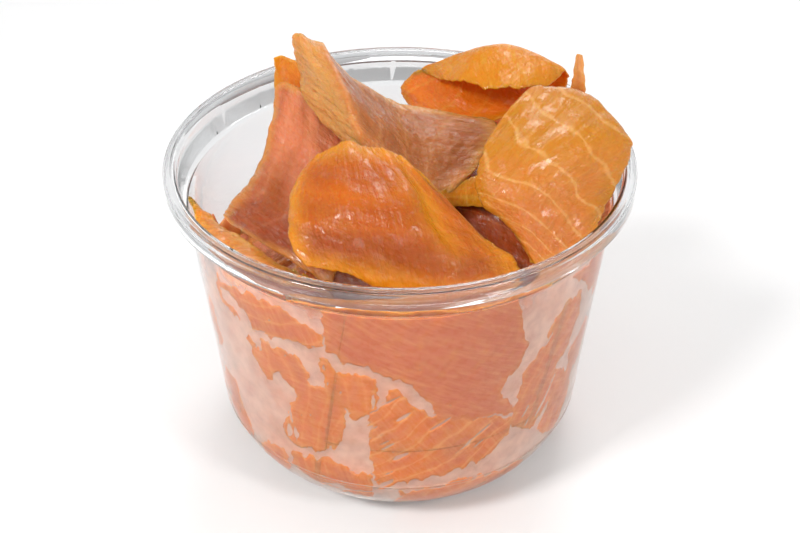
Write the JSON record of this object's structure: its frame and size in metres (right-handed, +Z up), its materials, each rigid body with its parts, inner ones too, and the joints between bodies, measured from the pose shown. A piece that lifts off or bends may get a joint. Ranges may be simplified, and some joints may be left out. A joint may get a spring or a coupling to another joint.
{
  "type": "smoked salmon slices in a clear tub",
  "caption": "Cold smoked salmon slices, crumpled and loosely packed in a round clear plastic deli tub without its lid; the top slices stand above the rim.",
  "frame": {"origin": "centre of the tub's foot, on the surface that it stands on", "axes": "+Z up along the tub's axis, +Y from the front of the pile to its back, +X to the right seen from the front"},
  "size_m": [0.117, 0.117, 0.1079],
  "materials": {
    "clear_plastic": "clear glossy moulded plastic",
    "salmon_orange": "moist, slightly translucent fish flesh",
    "salmon_pink": "moist, slightly translucent fish flesh",
    "salmon_gold": "moist, smoke-browned fish flesh"
  },
  "bodies": {
    "root": {"back_flap": "salmon_gold", "back_tip": "salmon_orange", "base_slice": "salmon_pink", "curled_slice": "salmon_gold", "front_slice": "salmon_orange", "inner_slice": "salmon_pink", "left_slice": "salmon_pink", "packed_slices": "salmon_pink", "peak_slice": "salmon_pink", "right_slice": "salmon_orange", "rim_strip": "salmon_orange", "tub": "clear_plastic", "wall_back": "salmon_orange", "wall_back_left": "salmon_orange", "wall_back_left_low": "salmon_orange", "wall_back_low": "salmon_orange", "wall_back_right": "salmon_orange", "wall_back_right_low": "salmon_orange", "wall_front": "salmon_orange", "wall_front_low": "salmon_orange", "wall_left": "salmon_orange", "wall_left_band": "salmon_orange", "wall_left_fan": "salmon_orange", "wall_left_low": "salmon_orange", "wall_right": "salmon_orange", "wall_right_back": "salmon_orange", "wall_right_low": "salmon_orange"}
  },
  "joints": []
}
